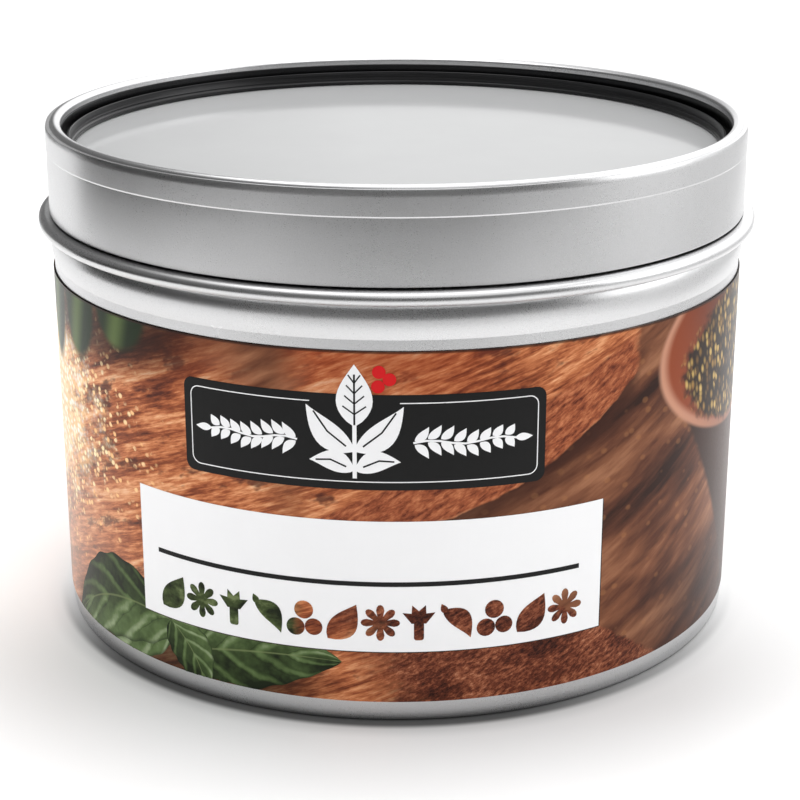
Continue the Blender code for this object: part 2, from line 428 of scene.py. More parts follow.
def tin_base():
    """Seat, chuck wall and recessed panel with an expansion bead."""
    seat = BASE_LOW.z
    panel = BASE_HIGH.z - METAL - 0.4 * MM
    chuck, fillet = CHUCK_RADIUS, 0.5 * MM
    path = [(BASE_HIGH.x, seat)]
    path += arc((chuck + fillet, seat + fillet), fillet, 270, 180, 6)
    path += arc((chuck - fillet, panel - fillet), fillet, 0, 90, 6)
    middle, width, rise = 32.5 * MM, 3.0 * MM, 0.4 * MM
    for step in range(13):
        share = step / 12
        radius = middle + width * (0.5 - share)
        path.append((radius, panel + rise * (0.5 - 0.5 * math.cos(FULL_TURN * share))))
    path += [(20.0 * MM, panel), (0.0, panel)]
    return turn(path[::-1] + offset_path(path, METAL))


def lid_metal():
    """Ledge, inner wall, sloped and crowned rim, and skirt with its small pressed step."""
    fillet = 0.3 * MM
    crown = (RIM_CROWN_RADIUS, LID_HIGH.z - RIM_CROWN_ROUND)
    slope = math.radians(RIM_SLOPE_ANGLE)
    corner_radius = LID_INNER_RADIUS + RIM_CORNER_ROUND
    step_out = (crown[0] - corner_radius) * math.cos(slope) + RIM_CROWN_ROUND - RIM_CORNER_ROUND
    corner = (corner_radius, crown[1] + step_out / math.sin(slope))
    ridge = INNER_RIDGE_HEIGHT
    path = [(LEDGE_RADIUS, LEDGE_HEIGHT)]
    path += arc((LID_INNER_RADIUS - fillet, LEDGE_HEIGHT + fillet), fillet, 270, 360, 10)
    path += [(LID_INNER_RADIUS, ridge), (LID_INNER_RADIUS - 0.03 * MM, ridge + 0.05 * MM)]
    path += [(LID_INNER_RADIUS, ridge + 0.1 * MM)]
    path += arc(corner, RIM_CORNER_ROUND, 180, RIM_SLOPE_ANGLE, 10)
    path += arc(crown, RIM_CROWN_ROUND, RIM_SLOPE_ANGLE, 90, 5)
    path += arc(crown, RIM_CROWN_ROUND, 90, RIM_EDGE_ANGLE, 12)[1:]
    path += arc((LID_RADIUS - RIM_EDGE_ROUND, RIM_EDGE_HEIGHT), RIM_EDGE_ROUND, RIM_EDGE_ANGLE, 0, 8)
    path += [(LID_RADIUS, SKIRT_LINE_HEIGHT + 0.16 * MM), (LID_RADIUS - SKIRT_LINE_DEPTH, SKIRT_LINE_HEIGHT)]
    path += [(LID_RADIUS, SKIRT_TAPER_END), (LID_RADIUS, LID_LOW.z + 0.06 * MM)]
    path += [(LID_RADIUS - 0.06 * MM, LID_LOW.z)]
    return turn(sheet_outline(path), sharp=12.0)


def retainer_ring():
    """L-shaped ring that clamps the window, with a fine ridge round its face."""
    foot = RETAINER_LOW.z + METAL
    face = RETAINER_HIGH.x - METAL
    fillet = 0.3 * MM
    ridge = foot + fillet + 0.1 * MM
    path = [(RETAINER_FOOT_RADIUS, foot)]
    path += arc((face - fillet, foot + fillet), fillet, 270, 360, 6)
    path += [(face, ridge), (face - 0.04 * MM, ridge + 0.08 * MM), (face, ridge + 0.16 * MM)]
    path += [(face, RETAINER_HIGH.z - 0.05 * MM), (face + 0.05 * MM, RETAINER_HIGH.z)]
    return turn(sheet_outline(path))


def window_pane():
    edge = 0.08 * MM
    low, high, radius = WINDOW_LOW.z, WINDOW_HIGH.z, WINDOW_HIGH.x
    return turn([
        (0.0, low), (radius - edge, low), (radius, low + edge), (radius, high - edge),
        (radius - edge, high), (0.0, high)])


# ---------------------------------------------------------------- the printed picture

# The picture is laid out in millimetres: across is the way round the tin from its front, positive to
# the right, and up is the height above the table.
WRAP_RADIUS = WRAP_HIGH.x


def picture_place(finish):
    x, y, z = finish.split(finish.place())
    across = finish.node("Math", 0, {"operation": "ARCTAN2"}, _0=x, _1=0.0 - y) * (WRAP_RADIUS / MM)
    return across, z * (1.0 / MM)


def slanted(finish, across, up, degrees, along_scale, cross_scale, seed=0.0):
    """Place along and across a grain that rises to the right by some degrees, scaled for a noise."""
    cos, sin = math.cos(math.radians(degrees)), math.sin(math.radians(degrees))
    along = across * cos + up * sin
    cross = up * cos - across * sin
    return finish.join(along * along_scale, cross * cross_scale, seed)


def oval(across, up, centre, half_width, half_height):
    """1 on the edge of an upright oval, less inside."""
    right = (across - centre[0]) * (1.0 / half_width)
    above = (up - centre[1]) * (1.0 / half_height)
    return (right * right + above * above).root()


def board_wood(finish, across, up):
    """Orange-brown worn board: broad streaks, fine fibres and dark stains."""
    streaks = finish.noise(slanted(finish, across, up, 22, 0.05, 0.40), 1.0, 5.0, 0.62, 0.6)
    fibres = finish.noise(slanted(finish, across, up, 20, 0.35, 2.4, 4.0), 1.0, 4.0, 0.6)
    pores = finish.noise(slanted(finish, across, up, 18, 0.7, 2.0, 9.0), 1.0, 3.0, 0.7)
    mixed = streaks * 0.55 + fibres * 0.35 + pores * 0.10
    tone = finish.ramp(
        mixed, (0.38, rgb(74, 34, 24)), (0.46, rgb(142, 74, 44)), (0.52, rgb(192, 116, 74)),
        (0.58, rgb(224, 158, 112)), (0.66, rgb(244, 204, 166)))
    stains = finish.noise(slanted(finish, across, up, 20, 0.13, 0.26, 14.0), 1.0, 4.0, 0.66)
    return finish.mix(finish.step(stains, 0.54, 0.64) * 0.8, tone, rgb(66, 32, 28))


def table_wood(finish, across, up):
    """Dark brown table behind, out of focus, with pale streaks."""
    streaks = finish.noise(slanted(finish, across, up, 24, 0.04, 0.16, 21.0), 1.0, 3.0, 0.5, 0.8)
    fibres = finish.noise(slanted(finish, across, up, 28, 0.14, 0.8, 25.0), 1.0, 4.0, 0.6)
    tone = finish.ramp(
        streaks * 0.72 + fibres * 0.28, (0.36, rgb(44, 22, 15)), (0.46, rgb(88, 50, 34)),
        (0.54, rgb(122, 76, 52)), (0.66, rgb(170, 118, 86)))
    crumbs = finish.cells(finish.join(across, up * 1.3, 27.0), 0.4)
    return finish.mix((1.0 - finish.step(crumbs, 0.12, 0.24)) * 0.25, tone, rgb(176, 120, 76))


def rough_wood(finish, across, up):
    """Dark red end grain of the front board."""
    fibres = finish.noise(slanted(finish, across, up, 28, 1.1, 2.4, 31.0), 1.0, 5.0, 0.75)
    patches = finish.noise(slanted(finish, across, up, 10, 0.14, 0.3, 35.0), 1.0, 2.0, 0.5)
    return finish.ramp(
        fibres * 0.65 + patches * 0.35, (0.38, rgb(34, 14, 9)), (0.48, rgb(92, 44, 28)),
        (0.56, rgb(142, 80, 54)), (0.68, rgb(206, 148, 112)))


def end_face(finish, across, up):
    """Shares of the raised board, its cut side and its shadow on the table, and the cut side's colour."""
    wobble = finish.noise(finish.join(across * 0.5, up * 0.5, 40.0), 1.0, 2.0, 0.6) - 0.5
    crest = up - (28.25 + across * 0.5016) - wobble * 1.2
    ahead = across - 5.1
    foot = up - (24.1 + ahead * 0.30 + ahead * ahead * 0.0125) - wobble * 0.8
    right_end = 1.0 - finish.step(across + wobble * 1.5, 27.6, 29.0)
    raised = finish.step(foot, -0.25, 0.25) * right_end * finish.step(across, -14.0, -8.0)
    face = raised * (1.0 - finish.step(crest, -0.35, 0.35))
    rough = finish.noise(slanted(finish, across, up, 35, 0.5, 1.6, 44.0), 1.0, 4.0, 0.7)
    cut = finish.ramp(rough, (0.35, rgb(92, 42, 28)), (0.5, rgb(150, 80, 50)), (0.68, rgb(198, 124, 84)))
    below = finish.step(foot, -5.0, 0.0) * finish.step(across, -8.0, 0.0) * right_end
    return raised, face, cut, below


def grains(finish, across, up, tone):
    """A spill of pale crumbs at the left, dense in its middle and scattered at its border."""
    spread = oval(across, up, (-63.0, 29.0), 27.0, 17.0)
    place = finish.join(across, up * 1.15, 50.0)
    ragged = finish.noise(place, 0.35, 3.0, 0.6)
    dense = 1.35 - spread + (ragged - 0.5) * 0.9
    near = finish.cells(place, 1.35)
    pick, _, _ = finish.split(finish.cells(place, 1.35, "Color"))
    shown = finish.step(dense - pick, 0.0, 0.2) * (1.0 - finish.step(near, 0.3, 0.62))
    heap = finish.step(dense, 0.4, 0.85)
    pale = finish.ramp(
        pick, (0.0, rgb(244, 190, 130)), (0.35, rgb(255, 236, 190)), (0.7, rgb(255, 252, 240)))
    warm = finish.mix(finish.step(near, 0.2, 0.8), pale, rgb(250, 206, 150))
    tone = finish.mix(heap * 0.9, tone, warm)
    return finish.mix(shown, tone, pale)


def far_leaves(finish, across, up, tone):
    """Soft dark green leaves hanging in at the upper left, out of focus, over a dark gap."""
    gap = 1.0 - finish.step(oval(across, up, (-40.0, 44.0), 26.0, 9.5), 0.5, 1.05)
    tone = finish.mix(gap * 0.88, tone, rgb(34, 17, 11))
    hanging = (((-34.5, 44.0), 5.2, 5.4), ((-44.0, 43.0), 4.6, 8.0), ((-53.0, 42.5), 4.4, 10.0))
    for centre, width, height in hanging:
        edge = oval(across, up, centre, width, height)
        vein = abs(across - centre[0] - (up - centre[1]) * 0.25)
        green = finish.mix(finish.step(vein, 0.0, 2.6), rgb(84, 100, 56), rgb(30, 42, 24))
        tone = finish.mix(1.0 - finish.step(edge, 0.78, 1.02), tone, green)
    return tone


def bowl(finish, across, up, tone):
    """Clay bowl of peppercorns at the right, slightly out of focus."""
    centre, half_width, half_height = (55.5, 37.2), 23.2, 11.4
    depth = ((36.5 - up) * (1.0 / 35.0)).most(0.001)
    half = (1.0 - depth ** 0.86).most(0.0) * half_width
    side = half - abs(across - centre[0])
    body = finish.step(side, -0.5, 0.7) * (1.0 - finish.step(up, 36.0, 37.0))
    round_shade = finish.step(abs(across - centre[0] - 4.0) * (1.0 / half_width), 0.2, 1.05)
    clay = finish.mix(round_shade, rgb(74, 56, 50), rgb(30, 18, 15))
    clay = finish.mix(finish.step(up, 8.0, 32.0) * 0.45, clay, rgb(70, 38, 27))
    shadow = 1.0 - finish.step(oval(across, up, (51.0, 6.0), 25.0, 11.0), 0.35, 1.1)
    tone = finish.mix(shadow * 0.65, tone, rgb(40, 26, 23))
    tone = finish.mix(body, tone, clay)
    lip = oval(across, up, centre, half_width, half_height)
    glow = finish.step(across, 34.0, 52.0)
    rim = finish.mix(glow, rgb(196, 142, 116), rgb(150, 98, 76))
    tone = finish.mix(1.0 - finish.step(lip, 0.985, 1.03), tone, rim)
    inner = oval(across, up, (centre[0], centre[1] + 0.3), half_width - 1.0, half_height - 0.7)
    inside = finish.mix(finish.step(across + up * 0.5, 52.0, 74.0), rgb(140, 66, 36), rgb(74, 34, 20))
    tone = finish.mix(1.0 - finish.step(inner, 0.96, 1.04), tone, inside)
    ragged = finish.noise(finish.join(across, up, 61.0), 0.6, 2.0, 0.6) - 0.5
    heap = oval(across, up, (56.5, 35.0), 20.0, 9.0) + ragged * 0.25
    place = finish.join(across * 1.35 + up * 0.3, up * 0.9, 66.0)
    near = finish.cells(place, 0.95)
    pick, _, _ = finish.split(finish.cells(place, 0.95, "Color"))
    corns = finish.ramp(
        pick, (0.0, rgb(40, 26, 14)), (0.35, rgb(104, 74, 38)), (0.6, rgb(150, 116, 60)),
        (0.85, rgb(204, 170, 100)))
    corns = finish.mix(finish.step(near, 0.15, 0.7), corns, rgb(34, 20, 12))
    return finish.mix(1.0 - finish.step(heap, 0.9, 1.02), tone, corns)


def picture_colour(finish):
    """The whole picture: boards, table, crumbs, far leaves and bowl."""
    across, up = picture_place(finish)
    board = board_wood(finish, across, up)
    pale = (1.0 - finish.step(across, -58.0, -26.0)) * (1.0 - finish.step(up, 14.0, 30.0))
    board = finish.mix(pale * 0.45, board, rgb(222, 186, 166))
    middle = finish.step(across, -40.0, -15.0) * (1.0 - finish.step(across, 0.0, 16.0))
    deep = finish.step(up, 33.0, 43.0) * middle
    board = finish.mix(deep * 0.55, board, rgb(150, 62, 30))
    board = grains(finish, across, up, board)
    board = far_leaves(finish, across, up, board)
    table = table_wood(finish, across, up)
    raised, face, cut, below = end_face(finish, across, up)
    table = finish.mix(below * 0.75, table, rgb(52, 26, 18))
    front_edge = across - 24.2 - (8.6 - up) * 1.48
    wobble = finish.noise(finish.join(across, up, 70.0), 0.8, 3.0, 0.7) - 0.5
    front = (1.0 - finish.step(front_edge + wobble * 3.0, -0.4, 0.4)) * (1.0 - finish.step(up, 15.0, 17.0))
    table = finish.mix(front, table, rough_wood(finish, across, up))
    left = 1.0 - finish.step(across + (up - 8.0) * 0.5, -8.0, 2.0)
    left = left * (1.0 - raised)
    back = finish.step(abs(across), 92.0, 104.0)
    tone = finish.mix(left.most(back), table, board)
    tone = finish.mix(raised, tone, board)
    tone = finish.mix(face, tone, cut)
    tone = bowl(finish, across, up, tone)
    under = 1.0 - finish.step(oval(across, up, (-29.0, 4.0), 24.0, 6.5), 0.6, 1.05)
    tone = finish.mix(under * 0.85, tone, rgb(22, 20, 12))
    edge = finish.step(up, WRAP_HIGH.z / MM - 0.30, WRAP_HIGH.z / MM - 0.12)
    return finish.mix(edge * 0.8, tone, rgb(40, 24, 20))


FILM = {"IOR": 1.42, "Specular_IOR_Level": 0.16}


def picture_film(name, leafy=False):
    """Satin film with the picture printed on it, with leaves across its lower left if asked for."""
    finish = Finish(name, **FILM)
    place = finish.place()
    grain = finish.noise(place, 3200.0, 2.0, 0.5)
    tone = picture_colour(finish)
    if leafy:
        across, up = picture_place(finish)
        folds = finish.noise(finish.join(across * 0.5, up * 0.7, 80.0), 1.0, 3.0, 0.6)
        green = finish.ramp(
            folds, (0.35, rgb(26, 32, 16)), (0.55, rgb(64, 76, 42)), (0.7, rgb(112, 124, 82)))
        tone = finish.mix(1.0 - finish.step(across + folds * 3.0, -10.5, -8.5), tone, green)
    return finish.done(Base_Color=tone, Roughness=0.26 + grain * 0.1,
                       Normal=finish.bump(grain, 0.08))


def printed_ink(name, colour, spread=0.04):
    """One flat ink with the film's fine grain and slightly uneven cover."""
    finish = Finish(name, **FILM)
    place = finish.place()
    grain = finish.noise(place, 3200.0, 2.0, 0.5)
    cover = finish.noise(place, 260.0, 4.0, 0.6)
    shade = (1.0 - spread) + cover * (2 * spread)
    tone = finish.mix(1.0, colour, finish.join(shade, shade, shade), "MULTIPLY")
    return finish.done(Base_Color=tone, Roughness=0.26 + grain * 0.1, Normal=finish.bump(grain, 0.08))


def leaf_print(name):
    """Basil leaf: dark green, pale midrib and side veins, blistered and shiny between them."""
    finish = Finish(name, **FILM)
    along, side, _ = finish.split(finish.node("TexCoord", "UV"))
    off = abs(side - 0.5) * 2.0
    place = finish.place()
    wander = finish.noise(place, 260.0, 3.0, 0.6)
    blisters = finish.noise(place, 900.0, 3.0, 0.55)
    rows = (along - off * 0.34) * 4.6 + wander * 0.7
    phase = rows - finish.node("Math", 0, {"operation": "FLOOR"}, _0=rows)
    vein = (1.0 - finish.step(abs(phase - 0.5), 0.0, 0.045)) * (1.0 - finish.step(off, 0.6, 0.95))
    rib = 1.0 - finish.step(off, 0.01, 0.035)
    swell = finish.step(phase, 0.5, 0.7) * (1.0 - finish.step(phase, 0.75, 1.0))
    upper = finish.step(side, 0.35, 0.95)
    light = 0.08 + wander * 0.35 + blisters * 0.2 + swell * 0.16 + upper * 0.2 - off * 0.08
    tone = finish.ramp(
        light, (0.28, rgb(26, 34, 17)), (0.40, rgb(58, 74, 40)), (0.54, rgb(92, 112, 68)),
        (0.74, rgb(154, 168, 132)))
    tone = finish.mix(vein * 0.4, tone, rgb(26, 34, 18))
    tone = finish.mix(rib * 0.6, tone, rgb(116, 128, 84))
    tone = finish.mix(finish.step(off, 0.88, 1.0) * 0.6, tone, rgb(14, 22, 10))
    grain = finish.noise(place, 3200.0, 2.0, 0.5)
    return finish.done(Base_Color=tone, Roughness=0.26 + grain * 0.1, Normal=finish.bump(grain, 0.08))


# ---------------------------------------------------------------- printed shapes

def plate_outline(left, right, bottom, top, corner=0.0, steps=6):
    if corner == 0.0:
        return [(left, bottom), (right, bottom), (right, top), (left, top)]
    outline = []
    for centre, start in (((right - corner, bottom + corner), -90), ((right - corner, top - corner), 0),
                          ((left + corner, top - corner), 90), ((left + corner, bottom + corner), 180)):
        outline += arc(centre, corner, start, start + 90, steps)
    return outline


def round_outline(centre, radius, steps=20):
    return arc(centre, radius, 0, 360 - 360 / steps, steps - 1)


def leaf_outline(base, tip, width, bend=0.0, steps=12):
    """Pointed leaf from base to tip. bend bows it to its left, as a share of its length."""
    start, end = Vector(base), Vector(tip)
    along = end - start
    across = Vector((-along.y, along.x))
    left, right = [], []
    for step in range(1, steps):
        share = step / steps
        middle = start + along * share + across * (bend * 4 * share * (1 - share))
        half = across.normalized() * (width / 2 * math.sin(math.pi * share ** 0.8))
        left.append(tuple(middle + half))
        right.append(tuple(middle - half))
    return [base] + right + [tip] + left[::-1]


def star_outline(centre, outer, inner, petals=8, steps=8):
    """Star anise seen from above: pointed petals round a small middle."""
    outline = []
    for step in range(petals * steps):
        angle = FULL_TURN * step / (petals * steps)
        lobe = abs(math.cos(angle * petals / 2)) ** 0.6
        radius = inner + (outer - inner) * lobe
        outline.append((centre[0] + radius * math.sin(angle), centre[1] + radius * math.cos(angle)))
    return outline


def ribbon_outline(path, width):
    return offset_path(path, -width / 2) + offset_path(path, width / 2)[::-1]


def wrap_round(piece, lift):
    """Carry a flat print, laid out in the XZ plane, on to the wrap's surface, lift above it."""
    radius = WRAP_RADIUS + lift
    for vertex in piece.data.vertices:
        angle = vertex.co.x / WRAP_RADIUS
        out = radius + vertex.co.y
        vertex.co = (out * math.sin(angle), -out * math.cos(angle), vertex.co.z)


def cut_into_strips(piece, low=None):
    """Cut a flat print every PRINT_STEP, so that it can follow the wall, and trim it at a height."""
    first = min(vertex.co.x for vertex in piece.data.vertices)
    last = max(vertex.co.x for vertex in piece.data.vertices)
    bpy.context.view_layer.objects.active = piece
    start_edit()
    bpy.ops.mesh.select_all(action="SELECT")
    if low is not None:
        bpy.ops.mesh.bisect(plane_co=(0, 0, low), plane_no=(0, 0, 1), clear_inner=True)
        bpy.ops.mesh.select_all(action="SELECT")
    bpy.ops.mesh.quads_convert_to_tris(quad_method="BEAUTY", ngon_method="BEAUTY")
    for index in range(1, int((last - first) / PRINT_STEP) + 1):
        bpy.ops.mesh.select_all(action="SELECT")
        bpy.ops.mesh.bisect(plane_co=(first + index * PRINT_STEP, 0, 0), plane_no=(1, 0, 0))
    end_edit()


def print_on(outlines, lift):
    """One thin printed piece out of closed outlines in millimetres across and up."""
    bpy.ops.object.select_all(action="DESELECT")
    patches = []
    for outline in outlines:
        bpy.ops.mesh.primitive_circle_add(vertices=len(outline), radius=MM, fill_type="NGON")
        patch = bpy.context.object
        for vertex, (across, up) in zip(patch.data.vertices, outline):
            vertex.co = (across * MM, 0.0, up * MM)
        patches.append(patch)
    for patch in patches:
        patch.select_set(True)
    if len(patches) > 1:
        bpy.ops.object.join()
    piece = bpy.context.object
    cut_into_strips(piece)
    wrap_round(piece, lift)
    thickness = piece.modifiers.new("film", "SOLIDIFY")
    thickness.thickness = 0.012 * MM
    thickness.offset = 0.0
    bpy.ops.object.modifier_apply(modifier=thickness.name)
    start_edit()
    bpy.ops.mesh.select_all(action="SELECT")
    bpy.ops.mesh.normals_make_consistent(inside=False)
    end_edit()
    return piece


def basil_leaf(base, tip, width, bend, lift, rows=40, columns=14):
    """A leaf as a grid with its own map: u runs along the midrib and v across it."""
    bpy.ops.object.select_all(action="DESELECT")
    bpy.ops.mesh.primitive_grid_add(x_subdivisions=rows, y_subdivisions=columns, size=1.0)
    piece = bpy.context.object
    start, end = Vector(base), Vector(tip)
    along = end - start
    across = Vector((-along.y, along.x))
    for vertex in piece.data.vertices:
        share, side = vertex.co.x + 0.5, vertex.co.y * 2
        middle = start + along * share + across * (bend * 4 * share * (1 - share))
        half = width / 2 * math.sin(math.pi * min(share, 0.9999) ** 0.72) ** 0.8
        half *= 1.0 + 0.03 * math.sin(share * 40) * abs(side)
        spot = middle + across.normalized() * (half * side)
        vertex.co = (spot.x * MM, 0.0, spot.y * MM)
    cut_into_strips(piece, WRAP_LOW.z + 0.05 * MM)
    wrap_round(piece, lift)
    start_edit()
    bpy.ops.mesh.select_all(action="SELECT")
    bpy.ops.mesh.remove_doubles(threshold=0.002 * MM)
    bpy.ops.mesh.normals_make_consistent(inside=False)
    end_edit()
    bpy.ops.object.shade_smooth()
    return piece


FIELD = (-31.7, 24.0, 8.6, 24.0)       # left, right, bottom, top of the blank writing field
PLAQUE = (-24.2, 16.35, 27.6, 38.3)
EMBLEM = -4.4                          # the plaque's ornament is centred here
CUT_OUTS = 12                          # shapes in the row under the line
CUT_OUT_HEIGHT = 12.1


def garland(first, last, level):
    """A stem with pairs of small leaves, running outward from the emblem."""
    way = 1 if last > first else -1
    count = 8
    stem = []
    outlines = []
    for step in range(count + 1):
        across = first + (last - first) * step / count
        stem.append((across, level + 0.25 * math.sin(step * 1.2)))
    outlines.append(ribbon_outline(stem, 0.22))
    for step in range(count):
        across, up = stem[step]
        size = 2.3 - 0.09 * step
        for turn_up in (-1, 1):
            tip = (across + way * size * 0.72, up + turn_up * size * 0.78)
            root = (across + way * 0.15, up + turn_up * 0.2)
            outlines.append(leaf_outline(root, tip, 0.95, -0.1 * way * turn_up))
    end_across, end_up = stem[-1]
    outlines.append(leaf_outline((end_across - way * 0.1, end_up), (end_across + way * 1.9, end_up), 0.85))
    return outlines


def spice_shapes(centre, level, kind):
    """Outlines of one cut-out in the row under the line, about 4 mm high and 4 mm wide."""
    if kind == 0:
        return [leaf_outline((centre - 1.6, level - 2.1), (centre + 1.6, level + 2.1), 3.0, -0.08)]
    if kind == 1:
        return [star_outline((centre, level), 2.15, 0.8)]
    if kind == 2:
        stalk = plate_outline(centre - 0.55, centre + 0.55, level - 2.1, level + 0.5, 0.3, 3)
        head = [(centre - 0.8, level - 0.1), (centre + 0.8, level - 0.1), (centre + 1.8, level + 1.2),
                (centre + 0.8, level + 1.1), (centre + 0.75, level + 2.1), (centre, level + 1.4),
                (centre - 0.75, level + 2.1), (centre - 0.8, level + 1.1), (centre - 1.8, level + 1.2)]
        return [stalk, head]
    if kind == 3:
        pod = leaf_outline((centre - 1.6, level + 1.4), (centre + 1.5, level - 2.1), 2.3, 0.16)
        cap = leaf_outline((centre - 1.2, level + 1.0), (centre - 1.75, level + 2.15), 0.8)
        return [pod, cap]
    return [
        round_outline((centre - 1.0, level - 1.05), 1.05), round_outline((centre + 1.05, level - 0.9), 1.0),
        round_outline((centre - 0.05, level + 1.05), 1.08)]


def wrap_prints():
    """Plaque, emblem, writing field, line and cut-outs, each a thin printed piece on the wrap."""
    black = printed_ink("black_ink", rgb(27, 27, 27), 0.10)
    white = printed_ink("white_ink", rgb(243, 243, 244), 0.015)
    red = printed_ink("red_ink", rgb(206, 30, 34), 0.06)
    shade = printed_ink("shade_ink", rgb(52, 40, 36), 0.1)
    field_left, field_right, field_bottom, field_top = FIELD
    left, right, bottom, top = PLAQUE
    inset = 0.92
    gap_left, gap_right = -9.2, 0.4
    middle = (bottom + top) / 2
    turned = 1.0
    border = [(gap_right, top - inset)]
    for centre, start in (
            ((right - inset - turned, top - inset - turned), 90),
            ((right - inset - turned, bottom + inset + turned), 0),
            ((left + inset + turned, bottom + inset + turned), -90),
            ((left + inset + turned, top - inset - turned), -180)):
        border += arc(centre, turned, start, start - 90, 6)
    border += [(gap_left, top - inset)]
    sprig = [leaf_outline((EMBLEM, top - 3.6), (EMBLEM, top + 3.3), 3.9),
             ribbon_outline([(EMBLEM, bottom + 1.3), (EMBLEM, top - 3.0)], 0.45)]
    ribs = [ribbon_outline([(EMBLEM, top - 3.4), (EMBLEM, top + 2.2)], 0.2)]
    for way in (-1, 1):
        high_tip = (EMBLEM + way * 5.2, top - 1.3)
        low_tip = (EMBLEM + way * 4.9, bottom + 3.2)
        sprig.append(leaf_outline((EMBLEM, bottom + 4.3), high_tip, 2.9, -0.10 * way))
        sprig.append(leaf_outline((EMBLEM, bottom + 2.2), low_tip, 2.4, 0.12 * way))
        ribs.append(ribbon_outline([(EMBLEM + way * 0.9, bottom + 4.9), (EMBLEM + way * 2.9, bottom + 6.5),
                                    (EMBLEM + way * 4.4, top - 2.0)], 0.18))
        ribs.append(ribbon_outline([(EMBLEM + way * 0.9, bottom + 2.6), (EMBLEM + way * 2.6, bottom + 3.35),
                                    (EMBLEM + way * 4.2, bottom + 3.25)], 0.18))
        for step in range(4):
            up = top - 2.2 + step * 1.15
            ribs.append(ribbon_outline([(EMBLEM, up), (EMBLEM + way * (1.25 - 0.2 * step), up + 0.9)], 0.15))
    berries = []
    for across, up in ((2.5, 0.9), (3.7, 1.7), (2.6, 2.5)):
        berries.append(round_outline((EMBLEM + across, top + up), 0.72))
    cut_outs = []
    for index in range(CUT_OUTS):
        centre = field_left + 4.7 + index * (field_right - field_left - 9.4) / (CUT_OUTS - 1)
        cut_outs += spice_shapes(centre, CUT_OUT_HEIGHT, index % 5)
    picture = picture_film("picture_through_cutouts", leafy=True)
    below_field = plate_outline(field_left + 0.1, field_right + 0.14, field_bottom - 0.12, field_top - 0.1)
    garlands = garland(EMBLEM - 6.2, left + 3.4, middle) + garland(EMBLEM + 6.2, right - 3.4, middle)
    pieces = (
        ("field_shade", [below_field], 0.03, shade),
        ("writing_field", [plate_outline(*FIELD)], 0.05, white),
        ("writing_line", [plate_outline(field_left + 2.7, field_right - 3.0, 16.4, 16.95)], 0.07, black),
        ("spice_cutouts", cut_outs, 0.07, picture),
        ("plaque_plate", [plate_outline(left, right, bottom, top, 1.1)], 0.03, black),
        ("plaque_border", [ribbon_outline(border, 0.11)], 0.05, white),
        ("plaque_garlands", garlands, 0.05, white),
        ("plaque_sprig", sprig, 0.055, white),
        ("sprig_ribs", ribs, 0.075, black),
        ("red_berries", berries, 0.055, red))
    for name, outlines, lift, material in pieces:
        finish_piece(print_on(outlines, lift * MM), name, material, "tin")
    green = leaf_print("basil_print")
    leaves = (
        ("basil_leaf_back", (-26.0, 9.5), (-45.5, 7.0), 9.5, 0.10, 0.012),
        ("basil_leaf_left", (-27.0, 8.2), (-50.0, 0.5), 10.5, -0.14, 0.018),
        ("basil_leaf_right", (-26.5, 5.0), (-6.0, 7.2), 9.5, 0.05, 0.014),
        ("basil_leaf_low", (-27.5, 8.4), (-22.5, 0.5), 6.0, 0.1, 0.02))
    for name, base, tip, width, bend, lift in leaves:
        finish_piece(basil_leaf(base, tip, width, bend, lift * MM), name, green, "tin")


# ---------------------------------------------------------------- floor, light and camera

# The right, front and far front greys are painted shade for dimmer parts of the studio; the halo and contact
# tones are painted shadows on the floor.
PALE_FLOOR = (0.93, 0.93, 0.93)
LEFT_FLOOR = (0.9, 0.9, 0.9)
RIGHT_FLOOR = (0.55, 0.55, 0.55)
FRONT_FLOOR = (0.6, 0.6, 0.6)          # seen only in the metal's reflections, as the next one
FAR_FRONT_FLOOR = (0.26, 0.26, 0.26)
HALO_SHADOW_TONE = (0.3, 0.3, 0.3)
CONTACT_SHADOW_TONE = (0.02, 0.02, 0.02)

# name, place, turn about the upright in degrees, size and grey of the cards that darken reflections
FLAGS = (
    ("front_flag", (-0.05, -0.28, 0.09), 0.0, (0.42, 0.18), 0.13),
    ("left_flag", (-0.24, -0.08, 0.045), 90.0, (0.36, 0.09), 0.03),
    ("back_left_flag", (-0.26, 0.35, 0.04), 0.0, (0.34, 0.08), 0.28))

# name, place, size, watts and whether the metal reflects the light
SOFTBOXES = (
    ("overhead_softbox", (0.0, 0.12, 0.75), (0.7, 0.5), 1.5, True),
    ("right_softbox", (0.75, -0.1, 0.35), (0.5, 0.6), 1.5, True),
    ("left_softbox", (-0.8, 0.1, 0.35), (0.5, 0.6), 2.2, False),
    ("front_fill", (-0.35, -0.8, 0.4), (0.6, 0.5), 2.3, False))

CAMERA_PLACE = (0.0004, -0.23285, 0.10366)
CAMERA_DIP = 19.05                     # degrees below the horizon
CAMERA_LENS = 86.97
CAMERA_SENSOR = 36.0


